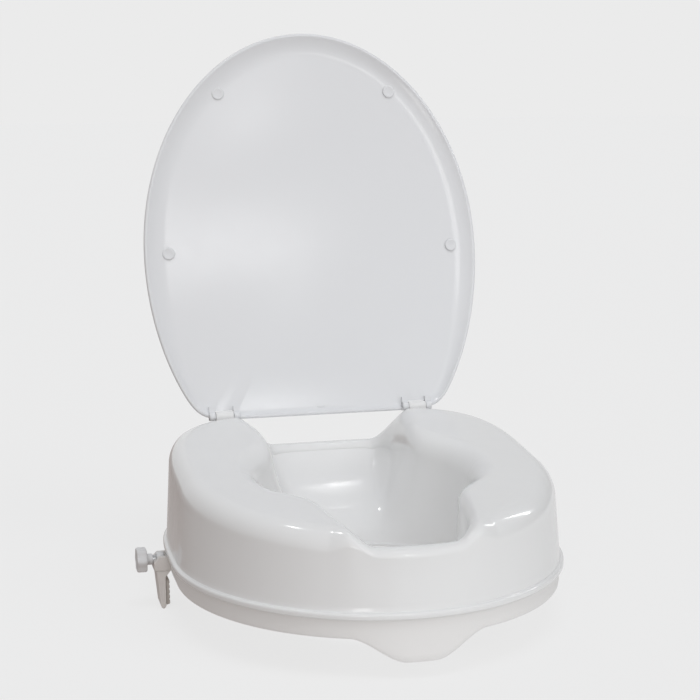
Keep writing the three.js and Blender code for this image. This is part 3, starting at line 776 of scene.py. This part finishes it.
for word, side in SIDES:

    def sideways(a, b, t):
        return (side * a, t, b)

    bracket = prism(f"bracket_{word}", BRACKET_OUTLINE, sideways, *about(CLAMP_Y, CLAMP_HALF), 0.7)
    half = HEAD_POCKET["half"]
    pocket_span = (CLAMP_Z - half, HEAD_POCKET["top"])
    pocket = box("pocket", reach(side, HEAD_POCKET), about(CLAMP_Y, half), pocket_span)
    rod = rod_profile(ROD_RADIUS + GAP, 171, 201)
    hole = turned("hole", rod, CLAMP_CENTRE, steps=40, closed=False, sign=side)
    combine(bracket, pocket, "DIFFERENCE")
    combine(bracket, hole, "DIFFERENCE")
    for face in (-CLAMP_HALF, CLAMP_HALF):
        groove = about(CLAMP_Y + face, SEAM["half"])
        seam = box("seam", reach(side, SEAM), groove, (SEAM["low"], SEAM["high"]))
        combine(bracket, seam, "DIFFERENCE")
    dress(bracket, CLAMP, f"clamp_{word}", "clamp_plastic", f"clamp_bracket_{word}")

    grip = prism(f"jaw_pad_{word}", grip_outline(), sideways, *about(CLAMP_Y, 10), 0.5)
    dress(grip, RUBBER, f"clamp_{word}", "pad_rubber", f"grip_pad_{word}")

    knob = turned(
        f"knob_lobed_{word}", KNOB_PROFILE, CLAMP_CENTRE, steps=144, shape=lobed, closed=False, sign=side
    )
    dress(knob, KNOB, f"knob_{word}", "knob_plastic", f"clamp_knob_{word}")

    ring = turned(f"collar_{word}", COLLAR_PROFILE, CLAMP_CENTRE, steps=64, sign=side)
    dress(ring, KNOB, f"knob_{word}", "knob_plastic", f"retaining_collar_{word}")

    rows = []
    first, last, around = THREAD["first"], THREAD["last"], THREAD["around"]
    run_out = THREAD["per_turn"]
    steps = int((last - first) / PITCH * THREAD["per_turn"])
    for k in range(steps + 1):
        a = mix(first, last, k / steps)
        row = []
        for j in range(around):
            angle = TURN * j / around
            phase = ((a - first) / PITCH - side * j / around) % 1.0
            ridge = THREAD["depth"] * (1 - abs(2 * phase - 1))
            depth = ridge * smooth(k, 0, run_out) * smooth(steps - k, 0, run_out)
            taper = 1.2 * (1 - smooth(k, 0, 12))
            r = ROD_RADIUS - depth - taper
            row.append((side * a, CLAMP_Y + r * math.cos(angle), CLAMP_Z + r * math.sin(angle)))
        rows.append(row)
    for a, r in ((211.0, ROD_RADIUS), (212.1, ROD_RADIUS - 1)):
        turns = [TURN * j / around for j in range(around)]
        rows.append([
            (side * a, CLAMP_Y + r * math.cos(t), CLAMP_Z + r * math.sin(t)) for t in turns
        ])
    rod = grid(f"screw_threaded_{word}", rows, wrap_rows=False, caps=True)
    dress(rod, STEEL, f"knob_{word}", "steel", f"clamp_screw_{word}")

SLOT_MATERIALS = {
    "seat_plastic": SEAT, "base_plastic": BASE, "lid_plastic": LID_MATERIAL, "clamp_plastic": CLAMP,
    "knob_plastic": KNOB, "bumper": BUMPER, "pad_rubber": RUBBER, "steel": STEEL,
}
for part in frame["record"]["subparts"]:
    carried = frame["nodes"][part["node"]]
    carried.data.materials.clear()
    carried.data.materials.append(SLOT_MATERIALS[part["material_slot"]])

# ---- stage ----
# The camera sees the room and the floor as one plain pale tone. The seat is lit by AMBIENT, by the
# floor's bounce and by the suns, and only the softboxes show as highlights in its gloss.
PALE = 0.8308
FLOOR_ALBEDO = 0.13
FLOOR_GLOW = 0.72
AMBIENT = dict(left=0.35, right=0.04, front=1.14, back=0.80, top=0.42)
BOUNCE_LEFT = (0.33, 0.28, 0.26)
BOUNCE_RIGHT = (0.74, 0.74, 0.745)
BOUNCE_FADE = (-0.34, 0.05)
FLOOR_SIZE = 60
SUN_ANGLE = 30
WHITE = (1, 1, 1)
SUNS = (  # name, direction, strength, tint
    ("key", (0.75, -0.75, 0.75), 0.42, WHITE),
    ("overhead", (0.0, -0.3, 1.0), 0.80, (0.97, 0.985, 1.03)),
    ("low_left", (-0.35, -1.0, 0.15), 0.20, WHITE),
)
SOFTBOXES = (  # name, direction, size, power, distance
    ("lamp_left", (-0.70, 0.52, 2.05), (0.04, 0.04), 1.8, 2.23),
    ("lamp_middle", (0.48, 0.69, 2.10), (0.020, 0.016), 0.30, 2.26),
    ("strip", (0.8, 0.2, 0.5), (0.10, 0.8), 3.5, 2.2),
    ("band", (0.20, -1.65, 0.74), (0.40, 0.05), 0.55, 1.84),
    ("patch", (0.25, -1.58, 1.02), (0.12, 0.05), 0.35, 1.90),
    ("crescent", (-0.36, -0.92, 0.0), (0.35, 0.50), 1.6, 2.0),
)
SIDES_OF_ROOM = (  # name, axis, tint
    ("left", (-1, 0, 0), (1.0, 0.99, 0.98)),
    ("right", (1, 0, 0), WHITE),
    ("front", (0, -1, 0), WHITE),
    ("back", (0, 1, 0), WHITE),
    ("top", (0, 0, 1), (0.98, 0.99, 1.0)),
)

floor_material = bpy.data.materials.new("floor_pale")
floor_material.use_nodes = True
floor_shader = floor_material.node_tree.nodes["Principled BSDF"]
floor_shader.inputs["Base Color"].default_value = (FLOOR_ALBEDO, FLOOR_ALBEDO, FLOOR_ALBEDO, 1)
floor_shader.inputs["Roughness"].default_value = 1.0
floor_shader.inputs["Specular IOR Level"].default_value = 0.0
floor_shader.inputs["Emission Color"].default_value = (1, 1, 1, 1)
floor_shader.inputs["Emission Strength"].default_value = FLOOR_GLOW

# The light that the floor throws back on the seat is dimmer and warmer on the left.
floor_tree = floor_material.node_tree
across = floor_tree.nodes.new("ShaderNodeSeparateXYZ")
floor_tree.links.new(floor_tree.nodes.new("ShaderNodeTexCoord").outputs["Object"], across.inputs[0])
fade = floor_tree.nodes.new("ShaderNodeMapRange")
fade.interpolation_type = "SMOOTHSTEP"
fade.inputs["From Min"].default_value = BOUNCE_FADE[0]
fade.inputs["From Max"].default_value = BOUNCE_FADE[1]
floor_tree.links.new(across.outputs["X"], fade.inputs["Value"])
bounce = floor_tree.nodes.new("ShaderNodeMix")
bounce.data_type = "RGBA"
bounce.inputs[6].default_value = (*BOUNCE_LEFT, 1)
bounce.inputs[7].default_value = (*BOUNCE_RIGHT, 1)
floor_tree.links.new(fade.outputs["Result"], bounce.inputs[0])
glow = floor_tree.nodes.new("ShaderNodeEmission")
floor_tree.links.new(bounce.outputs[2], glow.inputs["Color"])
floor_choice = floor_tree.nodes.new("ShaderNodeMixShader")
floor_path = floor_tree.nodes.new("ShaderNodeLightPath")
floor_tree.links.new(floor_path.outputs["Is Camera Ray"], floor_choice.inputs[0])
floor_tree.links.new(glow.outputs[0], floor_choice.inputs[1])
floor_tree.links.new(floor_shader.outputs[0], floor_choice.inputs[2])
floor_tree.links.new(floor_choice.outputs[0], floor_tree.nodes["Material Output"].inputs["Surface"])

floor_mesh = bpy.data.meshes.new("floor")
h = FLOOR_SIZE / 2
z = cad_low.z
floor_mesh.from_pydata([(-h, -h, z), (h, -h, z), (h, h, z), (-h, h, z)], [], [(0, 1, 2, 3)])
floor = bpy.data.objects.new("floor", floor_mesh)
bpy.context.scene.collection.objects.link(floor)
floor.data.materials.append(floor_material)
floor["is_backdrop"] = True


def aim(name, data, direction, distance=2.0):
    """Hangs a lamp where direction points from the seat, and turns it towards the seat."""
    light = bpy.data.objects.new(name, data)
    light.location = Vector((0, 0, 0.1)) + Vector(direction).normalized() * distance
    light.rotation_mode = "QUATERNION"
    light.rotation_quaternion = (-Vector(direction)).to_track_quat("-Z", "Y")
    bpy.context.scene.collection.objects.link(light)
    return light


def sun(name, direction, strength, tint):
    """A sun that lights surfaces but does not show in their gloss."""
    data = bpy.data.lights.new(name, "SUN")
    data.color = tint
    data.energy = strength
    data.angle = math.radians(SUN_ANGLE)
    light = aim(name, data, direction)
    light.visible_glossy = False


def softbox(name, direction, size, power, distance):
    """A lamp that shows in gloss but does not light matt surfaces."""
    data = bpy.data.lights.new(name, "AREA")
    data.shape = "RECTANGLE"
    data.size, data.size_y = size
    data.energy = power
    light = aim(name, data, direction, distance)
    light.visible_diffuse = False
    light.visible_camera = False


for lamp in SUNS:
    sun(*lamp)
for lamp in SOFTBOXES:
    softbox(*lamp)

world = bpy.data.worlds.new("studio")
world.use_nodes = True
tree = world.node_tree
plain = tree.nodes["Background"]
plain.inputs["Color"].default_value = (PALE, PALE, PALE, 1)
plain.inputs["Strength"].default_value = 1.0
toward = tree.nodes.new("ShaderNodeTexCoord").outputs["Generated"]


def facing(axis):
    """How far a direction leans towards an axis, from 0 to 1."""
    lean = tree.nodes.new("ShaderNodeVectorMath")
    lean.operation = "DOT_PRODUCT"
    lean.inputs[1].default_value = axis
    tree.links.new(toward, lean.inputs[0])
    kept = tree.nodes.new("ShaderNodeMath")
    kept.operation = "MAXIMUM"
    kept.inputs[1].default_value = 0
    tree.links.new(lean.outputs["Value"], kept.inputs[0])
    squared = tree.nodes.new("ShaderNodeMath")
    squared.operation = "POWER"
    squared.inputs[1].default_value = 2
    tree.links.new(kept.outputs[0], squared.inputs[0])
    return squared.outputs[0]


total = None
for wall, axis, tint in SIDES_OF_ROOM:
    part = tree.nodes.new("ShaderNodeVectorMath")
    part.operation = "SCALE"
    part.inputs[0].default_value = [AMBIENT[wall] * channel for channel in tint]
    tree.links.new(facing(axis), part.inputs["Scale"])
    if total is None:
        total = part.outputs["Vector"]
        continue
    adding = tree.nodes.new("ShaderNodeVectorMath")
    adding.operation = "ADD"
    tree.links.new(total, adding.inputs[0])
    tree.links.new(part.outputs["Vector"], adding.inputs[1])
    total = adding.outputs["Vector"]
room = tree.nodes.new("ShaderNodeBackground")
tree.links.new(total, room.inputs["Color"])
seen = tree.nodes.new("ShaderNodeLightPath").outputs["Is Camera Ray"]
choice = tree.nodes.new("ShaderNodeMixShader")
tree.links.new(seen, choice.inputs[0])
tree.links.new(room.outputs[0], choice.inputs[1])
tree.links.new(plain.outputs[0], choice.inputs[2])
tree.links.new(choice.outputs[0], tree.nodes["World Output"].inputs["Surface"])
bpy.context.scene.world = world
bpy.context.scene.view_settings.view_transform = "Standard"

# ---- camera ----
AZIMUTH = math.radians(-13.37)
ELEVATION = math.radians(11.45)
ROLL = math.radians(-0.60)
TARGET = (0, 0.0156, 0.138)
DISTANCE = 1.6044
level = math.cos(ELEVATION)
back = Vector((math.sin(AZIMUTH) * level, -math.cos(AZIMUTH) * level, math.sin(ELEVATION)))
right = Vector((math.cos(AZIMUTH), math.sin(AZIMUTH), 0))
up = back.cross(right)
rolled_right = right * math.cos(ROLL) + up * math.sin(ROLL)
rolled_up = up * math.cos(ROLL) - right * math.sin(ROLL)
camera_data = bpy.data.cameras.new("camera")
camera_data.sensor_width = 36
camera_data.lens = 85.5
camera_data.shift_x = -0.0152
camera_data.shift_y = 0.1144
camera_data.clip_end = 200
camera = bpy.data.objects.new("camera", camera_data)
place = Matrix((rolled_right, rolled_up, back)).transposed().to_4x4()
place.translation = Vector(TARGET) + back * DISTANCE
camera.matrix_world = place
bpy.context.scene.collection.objects.link(camera)
bpy.context.scene.camera = camera

low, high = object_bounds()
